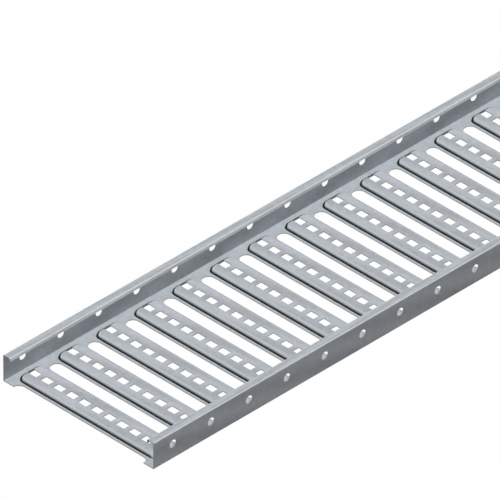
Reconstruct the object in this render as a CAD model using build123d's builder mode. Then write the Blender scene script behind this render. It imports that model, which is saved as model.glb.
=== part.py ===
"""Ladder-type cable tray section, pressed and folded from one galvanised steel sheet.

The origin is under the middle of the tray, on the plane that the tray rests on.
+X runs along the tray, +Y across it and +Z up. Sizes are in millimetres.
"""

import os
from math import radians, tan

from build123d import *

# Sheet and the inside radius of its folds
sheet = 1.5
fold_radius = 0.6

# Trough, measured over its outside
rung_count = 20
rung_pitch = 100
tray_width = 400
tray_height = 60
flange_width = 18
lip_height = 8

# Raised rungs, one in the middle of each pitch
rung_width = 62
rung_rise = 8.2
rung_side_gap = 16.5
rung_corner_radius = 15
shoulder_angle = 30

# Rectangular holes along the top of each rung
hole_length = 15.8
hole_width = 21.6
hole_spacing = 33.3

# Round-ended slots between the rungs
slot_width = 27.4
slot_side_gap = 28

# Round holes through both walls, one beside each rung
side_hole_diameter = 17.5
side_hole_height = 33.5

# The section is cut through the middle of a slot at each end
tray_length = rung_count * rung_pitch
slot_count = rung_count + 1
slot_length = tray_width - 2 * slot_side_gap

rung_length = tray_width - 2 * rung_side_gap
rung_top = sheet + rung_rise
holes_per_rung = int((rung_length - hole_width) // hole_spacing) + 1

# The sheet keeps its thickness round a fold and down a rung's shoulder
outer_fold_radius = fold_radius + sheet
hollow_inset = sheet * tan(radians(45 - shoulder_angle / 2))

# The straight cut across a corner of the space under a rung stays inside the rung's round corner
hollow_corner_cut = 0.8 * rung_corner_radius


# The outside of the folded sheet, from one lip down round the base to the other
def fold_line_points():
    wall = tray_width / 2
    lip = wall - flange_width
    lip_bottom = tray_height - lip_height
    return [
        (lip, lip_bottom),
        (lip, tray_height),
        (wall, tray_height),
        (wall, 0),
        (-wall, 0),
        (-wall, tray_height),
        (-lip, tray_height),
        (-lip, lip_bottom),
    ]


# The outside of one pressed rung, which stands on the base and narrows upwards
with BuildPart() as rung:
    with BuildSketch(Plane.XY.offset(sheet)):
        RectangleRounded(rung_width, rung_length, rung_corner_radius)
    extrude(amount=rung_rise, taper=shoulder_angle)

# The space under the rung, open to below
with BuildPart() as rung_hollow:
    with BuildSketch(Plane.XY) as hollow_outline:
        Rectangle(rung_width - 2 * hollow_inset, rung_length - 2 * hollow_inset)
        chamfer(hollow_outline.vertices(), length=hollow_corner_cut)
    extrude(amount=rung_rise, taper=shoulder_angle)

with BuildPart() as cable_tray:
    # Folded trough
    with BuildSketch(Plane.YZ.offset(-tray_length / 2)):
        with BuildLine():
            FilletPolyline(*fold_line_points(), radius=outer_fold_radius)
            offset(amount=sheet, side=Side.RIGHT)
        make_face()
    extrude(amount=tray_length)

    # Pressed rungs
    with GridLocations(rung_pitch, 0, rung_count, 1):
        add(rung.part)
    with GridLocations(rung_pitch, 0, rung_count, 1):
        add(rung_hollow.part, mode=Mode.SUBTRACT)

    # Holes in the rungs
    with BuildSketch(Plane.XY):
        with GridLocations(rung_pitch, hole_spacing, rung_count, holes_per_rung):
            Rectangle(hole_length, hole_width)
    extrude(amount=rung_top, mode=Mode.SUBTRACT)

    # Slots between the rungs, halved by the cut ends
    with BuildSketch(Plane.XY):
        with GridLocations(rung_pitch, 0, slot_count, 1):
            SlotOverall(slot_length, slot_width, rotation=90)
    extrude(amount=sheet, mode=Mode.SUBTRACT)

    # Holes in the walls
    with BuildSketch(Plane.XZ):
        with Locations((0, side_hole_height)):
            with GridLocations(rung_pitch, 0, rung_count, 1):
                Circle(side_hole_diameter / 2)
    extrude(amount=tray_width / 2, both=True, mode=Mode.SUBTRACT)

cable_tray.part.label = "cable_tray"
os.makedirs("parts", exist_ok=True)
export_step(cable_tray.part, "parts/cable_tray.step")
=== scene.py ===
"""Looks of the ladder-type cable tray: one galvanised sheet, punched, pressed and folded.

The sheet is laid out flat with its holes, cut into triangles there, and then pressed and folded
by formula, so that every bend, shoulder and punched edge has its true form. Lengths are in metres.
"""

import math

import bpy
import numpy as np
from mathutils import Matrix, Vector
from mathutils.geometry import delaunay_2d_cdt


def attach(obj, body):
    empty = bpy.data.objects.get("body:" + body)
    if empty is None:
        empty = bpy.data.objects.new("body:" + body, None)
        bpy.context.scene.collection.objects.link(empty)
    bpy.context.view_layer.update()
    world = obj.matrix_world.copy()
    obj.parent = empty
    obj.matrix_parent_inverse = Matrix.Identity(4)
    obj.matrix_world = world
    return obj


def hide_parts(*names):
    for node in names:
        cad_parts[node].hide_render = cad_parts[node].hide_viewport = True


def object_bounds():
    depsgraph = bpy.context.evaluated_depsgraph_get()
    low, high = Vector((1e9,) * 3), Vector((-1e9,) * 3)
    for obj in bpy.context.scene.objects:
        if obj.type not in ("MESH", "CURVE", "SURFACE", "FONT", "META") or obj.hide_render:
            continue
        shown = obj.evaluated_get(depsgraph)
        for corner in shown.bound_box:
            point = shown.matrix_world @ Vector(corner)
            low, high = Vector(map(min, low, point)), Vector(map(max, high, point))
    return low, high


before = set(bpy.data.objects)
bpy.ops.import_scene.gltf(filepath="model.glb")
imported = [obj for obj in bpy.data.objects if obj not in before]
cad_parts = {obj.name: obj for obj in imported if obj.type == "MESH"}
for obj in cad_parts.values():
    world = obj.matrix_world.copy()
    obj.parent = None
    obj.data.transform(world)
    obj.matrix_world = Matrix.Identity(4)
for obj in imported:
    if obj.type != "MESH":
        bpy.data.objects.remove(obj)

CAD_LOW, CAD_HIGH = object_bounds()
NODE = "cable_tray"
SHEET_NAME = "cable_tray_sheet"
MM = 0.001

# Trough, from the frame
LENGTH = CAD_HIGH.x - CAD_LOW.x
WIDTH = CAD_HIGH.y - CAD_LOW.y
HEIGHT = CAD_HIGH.z - CAD_LOW.z

# Sheet and folds
SHEET = 1.5 * MM
OUTER_FOLD_RADIUS = SHEET + 0.6 * MM
FLANGE = 18 * MM
LIP = 8 * MM

# Raised rungs
RUNG_PITCH = 100 * MM
RUNG_COUNT = round(LENGTH / RUNG_PITCH)
RUNG_HALF_WIDTH = 31 * MM
RUNG_HALF_LENGTH = WIDTH / 2 - 16.5 * MM
RUNG_CORNER = 15 * MM
RUNG_RISE = 8.2 * MM
FOOT_RADIUS = 0.8 * MM
SHOULDER_RADIUS = 7.6 * MM
STEEPEST = math.radians(82)

# Holes and slots
HOLE_HALF_LENGTH = 7.9 * MM
HOLE_HALF_WIDTH = 10.8 * MM
HOLE_SPACING = 33.3 * MM
HOLES_EACH_SIDE = 5
SLOT_RADIUS = 13.7 * MM
SLOT_END = WIDTH / 2 - 28 * MM
SIDE_HOLE_RADIUS = 8.75 * MM
SIDE_HOLE_HEIGHT = 33.5 * MM

# The rolled edge of a lip is lit as if it faced this many degrees up
LIP_TILT = 32

# How much more painted shade a rung's shoulder gets at its +Y end and +X side, and how much less at its -Y
# end
FAR_END_SHADE = 3.6
SIDE_SHADE = 0.3
NEAR_END_LESS_SHADE = 0.75

# How much painted light the outside of a wall gets at its top, where 1 is the painted highlight in the middle
# of a fold
WALL_TOP_LIGHT = 0.11

# Slow bands of painted reflection in the zinc's colour: their length along the tray and along a rung, and
# across a rung's width
BAND_LENGTH = 305 * MM
BAND_ACROSS_RUNG = 50 * MM

# Where a light band is lightest: from the -X end at the foot of a wall, inside and outside, and at the outer
# edge of a flange, and along a rung from its middle
LIGHTEST_INSIDE = 31 * MM
LIGHTEST_OUTSIDE = 48 * MM
LIGHTEST_FLANGE = 44 * MM
LIGHTEST_RUNG = -40 * MM

# How far along the tray the bands move for each length up a wall, inside and outside, and in over a flange
BAND_SLANT_INSIDE = 4.1
BAND_SLANT_OUTSIDE = -5.5
BAND_SLANT_FLANGE = 17

# How strong the bands are, and how much stronger on a rung for each metre towards +X
BAND_DEPTH_WALL = 1.2
BAND_DEPTH_FLANGE = 0.9
BAND_DEPTH_RUNG = 1.2
BAND_DEPTH_GAIN = 12.5

# Fineness of the mesh
FOLD_STEPS = 6
FOOT_STEPS = 3
SHOULDER_STEPS = 9
CORNER_STEPS = 9
SLOT_STEPS = 12
SIDE_HOLE_STEPS = 24

# The blank is cut into triangles in millimetres. Points closer than the tolerance are one, and its quarters
# are joined where their points agree to this many decimals
CUT_TOLERANCE = 1e-4
JOIN_DECIMALS = 3

# A row of points this close to a wall or a flange belongs to it
EDGE_SLACK = 0.01 * MM

# The least length that anything is divided by
TINY = 1e-12

# Zinc: its two tones, and how far its crystals, clouds and painted reflection bands shift it from one to the
# other
ZINC_LIGHT = (0.495, 0.528, 0.563, 1)
ZINC_DARK = (0.347, 0.372, 0.396, 1)
CRYSTAL_TONE = 0.19
CLOUD_TONE = 0.05
BAND_TONE = 0.24
CRYSTALS_PER_METRE = 140
CRYSTAL_BENDS_PER_METRE = 90
CRYSTAL_BEND = 0.02
CRYSTAL_ROUGHNESS = (0.38, 0.48)
CLOUDS_PER_METRE = 11
CLOUD_RANGE = (0.3, 0.7)
ZINC_METALLIC = 0.04
ZINC_SPECULAR = 0.0

# Rolling marks in the zinc: how many per metre along the tray, across it and up, and their relief
ROLLING_PER_METRE = (6, 700, 700)
ROLLING_RELIEF = 0.04
RELIEF_HEIGHT = 0.2 * MM

# Painted light and shade in the zinc's colour: a painted highlight on folds and towards the top of a wall, a
# painted sheen over a rung's shoulder, and near-black painted shade where it is steep; and how strong its
# mark is where each tone starts and is full
PAINTED_FOLD_LIGHT_ZINC = (0.62, 0.65, 0.68, 1)
PAINTED_SHEEN_ZINC = (0.500, 0.530, 0.560, 1)
PAINTED_SHADE_ZINC = (0.024, 0.026, 0.028, 1)
PAINTED_FOLD_LIGHT_RANGE = (0, 0.5)
PAINTED_SHEEN_RANGE = (0.02, 0.2)
PAINTED_SHADE_RANGE = (0.42, 0.78)

# Sheared edges
CUT_EDGE_LIGHT = (0.20, 0.21, 0.22, 1)
CUT_EDGE_DARK = (0.13, 0.14, 0.15, 1)
CUT_GRAINS_PER_METRE = 1500
CUT_GRAIN_RANGE = (0.35, 0.65)
CUT_GRAIN_RELIEF = 0.1
CUT_METALLIC = 0.3
CUT_ROUGHNESS = 0.55

# Floor and room
WHITE = (1, 1, 1, 1)
FLOOR_WHITE_SHARE = 0.92
FLOOR_LIT = (0.9, 0.9, 0.9, 1)
FLOOR_BOUNCE = (0.2, 0.2, 0.2, 1)
FLOOR_SIZE = 60
AMBIENT = 0.05
LAMP_SPREAD = 20

# Camera
PHOTO_AIM = Vector((-373.7 * MM, 175.5 * MM, 0))
PHOTO_AZIMUTH = -44.9
PHOTO_ELEVATION = 35.19
PHOTO_WIDTH = 942 * MM
LENS_MM = 1650
SENSOR_MM = 36


def fold_legs():
    """The straight stretches of half the section, from its middle line to its lip. A fold joins each two."""
    return [
        WIDTH / 2 - OUTER_FOLD_RADIUS,
        HEIGHT - 2 * OUTER_FOLD_RADIUS,
        FLANGE - 2 * OUTER_FOLD_RADIUS,
        LIP - OUTER_FOLD_RADIUS,
    ]


# Distances inside a rung's foot outline at which its foot ends, its shoulder starts and its flat top starts,
# and how far the steep stretch between foot and shoulder rises
FOOT_END = -FOOT_RADIUS * (1 - math.sin(STEEPEST))
STEEP_RISE = RUNG_RISE - (FOOT_RADIUS + SHOULDER_RADIUS) * (1 - math.cos(STEEPEST))
SHOULDER_START = FOOT_END + STEEP_RISE / math.tan(STEEPEST)
TOP_INSET = SHOULDER_START + SHOULDER_RADIUS * math.sin(STEEPEST)

FOLD_ARC = OUTER_FOLD_RADIUS * math.pi / 2
HALF_BLANK = sum(fold_legs()) + 3 * FOLD_ARC
SIDE_HOLE_AT = fold_legs()[0] + FOLD_ARC + SIDE_HOLE_HEIGHT - OUTER_FOLD_RADIUS
LIP_AT = sum(fold_legs()[:3]) + 2 * FOLD_ARC


def fold_section(u):
    """Outside points (y, z) of the folded sheet at distances u from its middle line.

    With them come its outward normals, and the softer ones that the rolled lip is shaded with.
    """
    points = np.zeros((len(u), 2))
    normals = np.zeros((len(u), 2))
    start, at, heading = np.zeros(2), 0.0, 0.0
    for leg in fold_legs():
        along = np.array([math.cos(heading), math.sin(heading)])
        outward = np.array([math.sin(heading), -math.cos(heading)])
        on_leg = u >= at
        points[on_leg] = start + (u[on_leg, None] - at) * along
        normals[on_leg] = outward
        start = start + leg * along
        at += leg
        centre = start - OUTER_FOLD_RADIUS * outward
        on_fold = u > at
        turn = heading + (u[on_fold] - at) / OUTER_FOLD_RADIUS
        normals[on_fold] = np.stack([np.sin(turn), -np.cos(turn)], 1)
        points[on_fold] = centre + OUTER_FOLD_RADIUS * normals[on_fold]
        heading += math.pi / 2
        start = centre + OUTER_FOLD_RADIUS * np.array([math.sin(heading), -math.cos(heading)])
        at += FOLD_ARC
    lip_turn = (math.pi / 2 - math.radians(LIP_TILT)) * np.clip((u - LIP_AT) / FOLD_ARC, 0, 1)
    soft = np.where((u > LIP_AT)[:, None], np.stack([-np.sin(lip_turn), np.cos(lip_turn)], 1), normals)
    return points, normals, soft


def rung_inset(x, y):
    """How far each point lies inside a rung's foot outline, and the direction out of the rung there."""
    over_x = np.abs(x) - (RUNG_HALF_WIDTH - RUNG_CORNER)
    over_y = np.abs(y) - (RUNG_HALF_LENGTH - RUNG_CORNER)
    in_corner = (over_x > 0) & (over_y > 0)
    reach = np.where(in_corner, np.hypot(over_x, over_y), np.maximum(over_x, over_y))
    by_x = over_x > over_y
    out_x = np.where(in_corner, over_x / np.maximum(reach, TINY), by_x) * np.sign(x)
    out_y = np.where(in_corner, over_y / np.maximum(reach, TINY), ~by_x) * np.sign(y)
    return RUNG_CORNER - reach, out_x, out_y


def pressed_profile(inset):
    """Height over the base and tilt from level of the sheet, this far inside a rung's foot outline."""
    foot_tilt = np.arcsin(np.clip(1 + inset / FOOT_RADIUS, 0, 1))
    shoulder_tilt = np.arcsin(np.clip((TOP_INSET - inset) / SHOULDER_RADIUS, 0, 1))
    on_foot, on_shoulder = inset < FOOT_END, inset > SHOULDER_START
    foot_height = FOOT_RADIUS * (1 - np.cos(foot_tilt))
    shoulder_height = RUNG_RISE - SHOULDER_RADIUS * (1 - np.cos(shoulder_tilt))
    steep_height = FOOT_RADIUS * (1 - math.cos(STEEPEST)) + (inset - FOOT_END) * math.tan(STEEPEST)
    height = np.select([on_foot, on_shoulder], [foot_height, shoulder_height], steep_height)
    return height, np.select([on_foot, on_shoulder], [foot_tilt, shoulder_tilt], STEEPEST)


def on_rungs(x, s):
    """Which points of the flat blank are pressed into rungs.

    With that come how far inside a rung's foot each point lies, the direction out of the rung there, and
    the height and tilt there.
    """
    rung_x = (np.floor(x / RUNG_PITCH) + 0.5) * RUNG_PITCH
    inset, out_x, out_y = rung_inset(x - rung_x, s)
    height, tilt = pressed_profile(inset)
    pressed = (np.abs(s) < fold_legs()[0]) & (inset > -FOOT_RADIUS)
    return pressed, inset, out_x, out_y, height, tilt


def press_and_fold(x, s):
    """Maps the flat blank to the tray: each point's place inside and outside, and its normals there."""
    side = np.where(s < 0, -1.0, 1.0)
    outside, outward, soft = fold_section(np.abs(s))
    zero = np.zeros(len(x))
    outer = np.stack([x, side * outside[:, 0], outside[:, 1]], 1)
    inward = -np.stack([zero, side * outward[:, 0], outward[:, 1]], 1)
    inner = outer + SHEET * inward

    pressed, _, out_x, out_y, height, tilt = on_rungs(x, s)
    top_normal = np.stack([out_x * np.sin(tilt), out_y * np.sin(tilt), np.cos(tilt)], 1)
    inner[pressed, 2] += height[pressed]
    inward[pressed] = top_normal[pressed]
    outer[pressed] = inner[pressed] - SHEET * inward[pressed]
    outward = np.where(pressed[:, None], -inward, np.stack([zero, side * soft[:, 0], soft[:, 1]], 1))
    return inner, outer, inward, outward


def tone_bands(x, s):
    """The slow bands of painted reflection at each point: turns of their wave inside and outside, and its
    strength.
    """
    base, wall, flange, _ = fold_legs()
    from_end = x + LENGTH / 2
    up_wall = np.abs(s) - base - FOLD_ARC
    in_flange = up_wall - wall - FOLD_ARC
    regions = [in_flange > -EDGE_SLACK, up_wall > -EDGE_SLACK]

    across_flange = BAND_SLANT_FLANGE * np.clip(in_flange, 0, flange)
    flange_turn = (from_end - across_flange - LIGHTEST_FLANGE) / BAND_LENGTH
    rung_turn = (s - LIGHTEST_RUNG) / BAND_LENGTH + x / BAND_ACROSS_RUNG
    turns = []
    sides = [(BAND_SLANT_INSIDE, LIGHTEST_INSIDE), (BAND_SLANT_OUTSIDE, LIGHTEST_OUTSIDE)]
    for slant, lightest in sides:
        wall_turn = (from_end - slant * up_wall - lightest) / BAND_LENGTH
        turns.append(np.select(regions, [flange_turn, wall_turn], rung_turn))

    pressed, inset, *_ = on_rungs(x, s)
    # On a rung the painted reflection bands grow stronger towards its +X side
    from_middle = ((x / RUNG_PITCH) % 1 - 0.5) * RUNG_PITCH
    rung_depth = (BAND_DEPTH_RUNG + BAND_DEPTH_GAIN * from_middle) * np.clip(inset / FOOT_RADIUS, 0, 1)
    depth = np.select(regions, [BAND_DEPTH_FLANGE, BAND_DEPTH_WALL], np.where(pressed, rung_depth, 0))
    return turns, depth


def zinc_marks(x, s):
    """Painted light and shade in the zinc's colour at each point, inside and outside.

    painted_shading: a rung shoulder's tilt, raised at its +Y end and +X side and lowered at its -Y end. It
    gives a painted sheen where the shoulder starts to tilt and painted shade where it is steep.
    painted_fold_light: 1 in the middle of a fold, outside, as a painted highlight, and a little painted light
    towards the top of a wall, outside.
    band_turn and band_depth: the slow bands of painted reflection, as turns of a wave and its strength.
    """
    pressed, _, out_x, out_y, _, tilt = on_rungs(x, s)
    # Painted shade: a rung shoulder's tilt, raised at its +Y end and +X side and lowered at its -Y end
    shade_gain = 1 + FAR_END_SHADE * np.maximum(out_y, 0) ** 2 + SIDE_SHADE * np.maximum(out_x, 0) ** 2
    shade_gain -= NEAR_END_LESS_SHADE * np.maximum(-out_y, 0)
    painted_shading = np.where(pressed, tilt / (math.pi / 2) * shade_gain, 0)

    u = np.abs(s)
    painted_fold_light, at = np.zeros(len(u)), 0.0
    # Painted highlight along the middle of each fold, outside
    for leg in fold_legs()[:-1]:
        at += leg
        painted_fold_light += np.clip(1 - np.abs((u - at) / FOLD_ARC - 0.5) * 2, 0, 1)
        at += FOLD_ARC
    base, wall, *_ = fold_legs()
    up_wall = u - base - FOLD_ARC
    below_flange = up_wall < wall + FOLD_ARC / 2
    # Painted light rising towards the top of the outside of a wall
    painted_fold_light = np.maximum(painted_fold_light, WALL_TOP_LIGHT * np.clip(up_wall / wall, 0, 1) * below_flange)

    turns, depth = tone_bands(x, s)
    none = np.zeros(len(u))
    return {
        "painted_shading": (painted_shading, none),
        "painted_fold_light": (none, painted_fold_light),
        "band_turn": turns,
        "band_depth": (depth, depth),
    }


def arc(centre, radius, start, end, steps):
    """Points on an arc, from one angle to the other, in degrees."""
    angles = np.radians(np.linspace(start, end, steps + 1))
    return [(centre[0] + radius * math.cos(a), centre[1] + radius * math.sin(a)) for a in angles]


def rung_ring(inset):
    """A quarter of a rung's outline at a distance inside its foot."""
    corner = (RUNG_HALF_WIDTH - RUNG_CORNER, RUNG_HALF_LENGTH - RUNG_CORNER)
    round_part = arc(corner, RUNG_CORNER - inset, 0, 90, CORNER_STEPS)
    return [(RUNG_HALF_WIDTH - inset, 0), *round_part, (0, RUNG_HALF_LENGTH - inset)]


def blank_lines():
    """The lines that the triangles of a quarter of one pitch of the flat blank must keep."""
    half_pitch = RUNG_PITCH / 2
    lines = [[(0, 0), (half_pitch, 0), (half_pitch, HALF_BLANK), (0, HALF_BLANK), (0, 0)]]

    # Folds
    at = 0.0
    for leg in fold_legs()[:-1]:
        at += leg
        for step in range(FOLD_STEPS + 1):
            row = at + FOLD_ARC * step / FOLD_STEPS
            lines.append([(0, row), (half_pitch, row)])
        at += FOLD_ARC

    # Foot and shoulder of the rung
    for step in range(FOOT_STEPS + 1):
        lines.append(rung_ring(-FOOT_RADIUS * (1 - math.sin(STEEPEST * step / FOOT_STEPS))))
    for step in range(SHOULDER_STEPS + 1):
        tilt = STEEPEST * (1 - step / SHOULDER_STEPS)
        lines.append(rung_ring(TOP_INSET - SHOULDER_RADIUS * math.sin(tilt)))

    # Punched openings
    for k in range(HOLES_EACH_SIDE + 1):
        low = max(0.0, k * HOLE_SPACING - HOLE_HALF_WIDTH)
        high = k * HOLE_SPACING + HOLE_HALF_WIDTH
        lines.append([(0, low), (HOLE_HALF_LENGTH, low), (HOLE_HALF_LENGTH, high), (0, high)])
    slot_centre = (half_pitch, SLOT_END - SLOT_RADIUS)
    lines.append([(half_pitch - SLOT_RADIUS, 0), *arc(slot_centre, SLOT_RADIUS, 180, 90, SLOT_STEPS)])
    lines.append(arc((0, SIDE_HOLE_AT), SIDE_HOLE_RADIUS, -90, 90, SIDE_HOLE_STEPS))
    return lines


def is_punched_out(x, s):
    """Whether points of a quarter of one pitch lie in a hole or a slot."""
    nearest = np.clip(np.round(s / HOLE_SPACING), 0, HOLES_EACH_SIDE) * HOLE_SPACING
    in_hole = (x < HOLE_HALF_LENGTH) & (np.abs(s - nearest) < HOLE_HALF_WIDTH)
    past_straight = np.maximum(s - (SLOT_END - SLOT_RADIUS), 0)
    in_slot = np.hypot(x - RUNG_PITCH / 2, past_straight) < SLOT_RADIUS
    in_side_hole = np.hypot(x, s - SIDE_HOLE_AT) < SIDE_HOLE_RADIUS
    return in_hole | in_slot | in_side_hole


def quarter_pitch():
    """Points and triangles of a quarter of one pitch of the flat blank, in millimetres."""
    points, edges = [], []
    for line in blank_lines():
        first = len(points)
        points += [Vector((x / MM, s / MM)) for x, s in line]
        edges += [(first + k, first + k + 1) for k in range(len(line) - 1)]
    found, _, faces, *_ = delaunay_2d_cdt(points, edges, [], 0, CUT_TOLERANCE)
    flat = np.array([tuple(p) for p in found])
    triangles = np.array([tuple(f) for f in faces])
    middle = flat[triangles].mean(1) * MM
    return flat, triangles[~is_punched_out(middle[:, 0], middle[:, 1])]


def whole_blank():
    """The flat blank: the quarter mirrored both ways, repeated along the tray and joined."""
    flat, triangles = quarter_pitch()
    points, faces = [], []
    for rung in range(RUNG_COUNT):
        centre = (rung + 0.5 - RUNG_COUNT / 2) * RUNG_PITCH / MM
        for flip_x in (1, -1):
            for flip_s in (1, -1):
                start = sum(len(p) for p in points)
                points.append(flat * (flip_x, flip_s) + (centre, 0))
                turned = triangles if flip_x == flip_s else triangles[:, ::-1]
                faces.append(turned + start)
    points, faces = np.concatenate(points), np.concatenate(faces)
    keys = np.round(points, JOIN_DECIMALS)
    _, first, same = np.unique(keys, axis=0, return_index=True, return_inverse=True)
    faces = same.reshape(-1)[faces]
    distinct = (faces[:, 0] != faces[:, 1]) & (faces[:, 1] != faces[:, 2]) & (faces[:, 2] != faces[:, 0])
    faces = faces[distinct]
    points = points[first] * MM
    a, b, c = (points[faces[:, k]] for k in range(3))
    area = np.cross(b - a, c - a)
    faces[area < 0] = faces[area < 0][:, ::-1]
    return points, faces


def open_edges(faces):
    """The edges that only one triangle has, each in that triangle's direction."""
    edges = np.concatenate([faces[:, [0, 1]], faces[:, [1, 2]], faces[:, [2, 0]]])
    ordered = np.sort(edges, axis=1)
    _, first, count = np.unique(ordered, axis=0, return_index=True, return_counts=True)
    return edges[first[count == 1]]


def make_sheet():
    """The tray as one closed mesh, with exact normals on its faces and flat ones on its cut edges."""
    points, faces = whole_blank()
    inner, outer, inward, outward = press_and_fold(points[:, 0], points[:, 1])
    count = len(points)
    rims = open_edges(faces)
    walls = np.stack([rims[:, 1], rims[:, 0], rims[:, 0] + count, rims[:, 1] + count], 1)
    vertices = np.concatenate([inner, outer])

    mesh = bpy.data.meshes.new(SHEET_NAME)
    polygons = faces.tolist() + (faces[:, ::-1] + count).tolist() + walls.tolist()
    mesh.from_pydata(vertices.tolist(), [], polygons)
    mesh.shade_smooth()

    corner, along, _, across = (vertices[walls[:, k]] for k in range(4))
    wall_normals = np.cross(along - corner, across - corner)
    wall_normals /= np.maximum(np.linalg.norm(wall_normals, axis=1, keepdims=True), TINY)
    loop_normals = np.concatenate(
        [inward[faces.ravel()], outward[faces[:, ::-1].ravel()], np.repeat(wall_normals, 4, axis=0)]
    )
    mesh.normals_split_custom_set(loop_normals.tolist())

    for name, sides in zinc_marks(points[:, 0], points[:, 1]).items():
        values = mesh.attributes.new(name, "FLOAT", "POINT")
        values.data.foreach_set("value", np.concatenate(sides).astype(np.float32))

    slots = np.zeros(len(polygons), np.int32)
    slots[2 * len(faces):] = 1
    mesh.materials.append(zinc_material())
    mesh.materials.append(cut_edge_material())
    mesh.polygons.foreach_set("material_index", slots)
    mesh.update()
    sheet = bpy.data.objects.new(SHEET_NAME, mesh)
    bpy.context.scene.collection.objects.link(sheet)
    return sheet


class Nodes:
    """A short way to build the nodes of a material or of the world."""

    def __init__(self, owner):
        owner.use_nodes = True
        self.owner = owner
        self.tree = owner.node_tree
        self.tree.nodes.clear()

    def add(self, kind, inputs=(), **settings):
        node = self.tree.nodes.new("ShaderNode" + kind)
        for key, value in settings.items():
            setattr(node, key, value)
        for key, value in dict(inputs).items():
            if isinstance(value, bpy.types.NodeSocket):
                self.tree.links.new(value, node.inputs[key])
            else:
                node.inputs[key].default_value = value
        return node

    def mark(self, name):
        """A mark that the mesh carries."""
        return self.add("Attribute", attribute_name=name).outputs["Fac"]

    def math(self, operation, first, second=0.0):
        return self.add("Math", {0: first, 1: second}, operation=operation).outputs[0]

    def remap(self, value, low=0, high=1, to_low=0, to_high=1):
        """Maps a range of values to another, and holds the ends."""
        return self.add("MapRange", {0: value, 1: low, 2: high, 3: to_low, 4: to_high}).outputs[0]

    def mix(self, factor, first, second):
        node = self.add("Mix", data_type="RGBA")
        for key, value in (("Factor", factor), ("A", first), ("B", second)):
            socket = next(i for i in node.inputs if i.name == key and i.enabled)
            if isinstance(value, bpy.types.NodeSocket):
                self.tree.links.new(value, socket)
            else:
                socket.default_value = value
        return next(o for o in node.outputs if o.enabled)

    def finish(self, kind, shader):
        """Puts a shader on the output, and gives the material or the world back."""
        output = self.add("Output" + kind)
        self.tree.links.new(shader.outputs[0], output.inputs[0])
        return self.owner


def zinc_material():
    """Galvanised steel: a dull zinc skin with crystals and fine rolling marks, and painted highlights, sheen,
    shade and reflection bands in its colour.
    """
    n = Nodes(bpy.data.materials.new("galvanised_steel"))
    place = n.add("TexCoord").outputs["Object"]
    bends = n.add("TexNoise", {"Vector": place, "Scale": CRYSTAL_BENDS_PER_METRE, "Detail": 3})
    bent = n.mix(CRYSTAL_BEND, place, bends.outputs["Color"])
    spangle = n.add("TexVoronoi", {"Vector": bent, "Scale": CRYSTALS_PER_METRE})
    crystal = n.add("SeparateColor", {"Color": spangle.outputs["Color"]}).outputs[0]
    rolled = n.add("Mapping", {"Vector": place, "Scale": ROLLING_PER_METRE})
    streaks = n.add("TexNoise", {"Vector": rolled.outputs[0], "Scale": 1, "Detail": 4})
    cloud = n.add("TexNoise", {"Vector": place, "Scale": CLOUDS_PER_METRE, "Detail": 2})
    crystals = n.remap(crystal, 0, 1, -CRYSTAL_TONE, CRYSTAL_TONE)
    clouds = n.remap(cloud.outputs[0], *CLOUD_RANGE, 0.5 - CLOUD_TONE, 0.5 + CLOUD_TONE)
    # Slow bands of painted reflection, lighter and darker
    wave = n.math("COSINE", n.math("MULTIPLY", n.mark("band_turn"), 2 * math.pi))
    bands = n.math("MULTIPLY", n.math("MULTIPLY", wave, n.mark("band_depth")), BAND_TONE)
    skin = n.mix(n.math("ADD", n.math("ADD", crystals, clouds), bands), ZINC_DARK, ZINC_LIGHT)
    painted_shading = n.mark("painted_shading")
    # Painted highlight on the folds and painted light towards the top of a wall
    painted_fold_light = n.mix(n.remap(n.mark("painted_fold_light"), *PAINTED_FOLD_LIGHT_RANGE), skin, PAINTED_FOLD_LIGHT_ZINC)
    # Painted sheen: a lighter tone over a rung's shoulder, from where it starts to tilt
    sheened = n.mix(n.remap(painted_shading, *PAINTED_SHEEN_RANGE), painted_fold_light, PAINTED_SHEEN_ZINC)
    # Near-black painted shade where a rung's shoulder is steep
    shade = n.mix(n.remap(painted_shading, *PAINTED_SHADE_RANGE), sheened, PAINTED_SHADE_ZINC)
    rough = n.remap(crystal, 0, 1, *CRYSTAL_ROUGHNESS)
    bump = n.add(
        "Bump",
        {"Height": streaks.outputs[0], "Strength": ROLLING_RELIEF, "Distance": RELIEF_HEIGHT},
    )
    surface = n.add(
        "BsdfPrincipled",
        {
            "Base Color": shade,
            "Metallic": ZINC_METALLIC,
            "Specular IOR Level": ZINC_SPECULAR,
            "Roughness": rough,
            "Normal": bump.outputs[0],
        },
    )
    return n.finish("Material", surface)


def cut_edge_material():
    """Sheared edges: bare steel under a thin wipe of zinc, with fine shear marks."""
    n = Nodes(bpy.data.materials.new("cut_edge"))
    place = n.add("TexCoord").outputs["Object"]
    grain = n.add("TexNoise", {"Vector": place, "Scale": CUT_GRAINS_PER_METRE, "Detail": 4})
    shade = n.mix(n.remap(grain.outputs[0], *CUT_GRAIN_RANGE), CUT_EDGE_DARK, CUT_EDGE_LIGHT)
    bump = n.add(
        "Bump",
        {"Height": grain.outputs[0], "Strength": CUT_GRAIN_RELIEF, "Distance": RELIEF_HEIGHT},
    )
    surface = n.add(
        "BsdfPrincipled",
        {
            "Base Color": shade,
            "Metallic": CUT_METALLIC,
            "Roughness": CUT_ROUGHNESS,
            "Normal": bump.outputs[0],
        },
    )
    return n.finish("Material", surface)


def shows_background(n):
    """1 for the rays that see the background: camera, glossy and transmission rays."""
    rays = n.add("LightPath")
    either = n.math("MAXIMUM", rays.outputs["Is Camera Ray"], rays.outputs["Is Glossy Ray"])
    return n.math("MAXIMUM", either, rays.outputs["Is Transmission Ray"])


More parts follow.
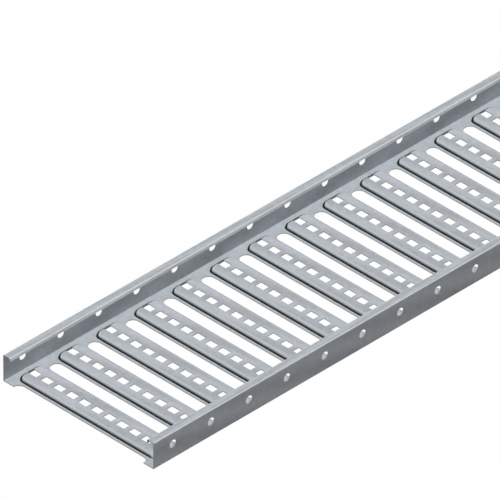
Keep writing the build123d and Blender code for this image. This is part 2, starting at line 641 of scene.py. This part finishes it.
def make_floor():
    """A white floor that keeps the object's shadow and throws little light back at it."""
    n = Nodes(bpy.data.materials.new("white_floor"))
    white = n.add("Emission", {"Color": WHITE, "Strength": 1.0})
    lit = n.add("BsdfDiffuse", {"Color": FLOOR_LIT})
    shown = n.add("MixShader", {0: FLOOR_WHITE_SHARE, 1: lit.outputs[0], 2: white.outputs[0]})
    bounce = n.add("BsdfDiffuse", {"Color": FLOOR_BOUNCE})
    both = n.add("MixShader", {0: shows_background(n), 1: bounce.outputs[0], 2: shown.outputs[0]})
    white_floor = n.finish("Material", both)

    mesh = bpy.data.meshes.new("floor")
    half = FLOOR_SIZE / 2
    corners = [(-half, -half, 0), (half, -half, 0), (half, half, 0), (-half, half, 0)]
    mesh.from_pydata(corners, [], [(0, 1, 2, 3)])
    mesh.materials.append(white_floor)
    floor = bpy.data.objects.new("floor", mesh)
    bpy.context.scene.collection.objects.link(floor)


def make_world():
    """An even pale room: white where it is seen, and a low even light elsewhere."""
    n = Nodes(bpy.data.worlds.new("room"))
    dim = n.add("Background", {"Color": WHITE, "Strength": AMBIENT})
    white = n.add("Background", {"Color": WHITE, "Strength": 1.0})
    both = n.add("MixShader", {0: shows_background(n), 1: dim.outputs[0], 2: white.outputs[0]})
    bpy.context.scene.world = n.finish("World", both)


def direction(azimuth, elevation):
    """The unit vector towards a place in the sky. Azimuth 0 is on the -Y side and 90 on the +X side."""
    a, e = math.radians(azimuth), math.radians(elevation)
    return Vector((math.sin(a) * math.cos(e), -math.cos(a) * math.cos(e), math.sin(e)))


def make_sun(name, azimuth, elevation, strength, shadow=True):
    """A soft parallel light from one direction."""
    lamp = bpy.data.lights.new(name, "SUN")
    lamp.energy = strength
    lamp.angle = math.radians(LAMP_SPREAD)
    lamp.use_shadow = shadow
    sun = bpy.data.objects.new(name, lamp)
    sun.rotation_euler = direction(azimuth, elevation).to_track_quat("Z", "Y").to_euler()
    bpy.context.scene.collection.objects.link(sun)


def make_camera():
    """A long lens far off, which keeps the photo's parallel isometric look."""
    data = bpy.data.cameras.new("camera")
    data.lens = LENS_MM
    data.sensor_width = SENSOR_MM
    distance = PHOTO_WIDTH * LENS_MM / SENSOR_MM
    data.clip_start = 1
    data.clip_end = distance * 4
    camera = bpy.data.objects.new("camera", data)
    back = direction(PHOTO_AZIMUTH, PHOTO_ELEVATION)
    camera.location = PHOTO_AIM + back * distance
    camera.rotation_euler = back.to_track_quat("Z", "Y").to_euler()
    bpy.context.scene.collection.objects.link(camera)
    bpy.context.scene.camera = camera


make_camera()
make_world()
make_floor()
make_sun("key", azimuth=-48, elevation=76, strength=2.95, shadow=False)
make_sun("fill", azimuth=10, elevation=30, strength=0.33)
make_sun("back", azimuth=165, elevation=12, strength=0.4, shadow=False)

sheet = make_sheet()
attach(sheet, "root")
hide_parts(NODE)

bpy.context.scene.view_settings.view_transform = "Standard"

bpy.context.view_layer.update()
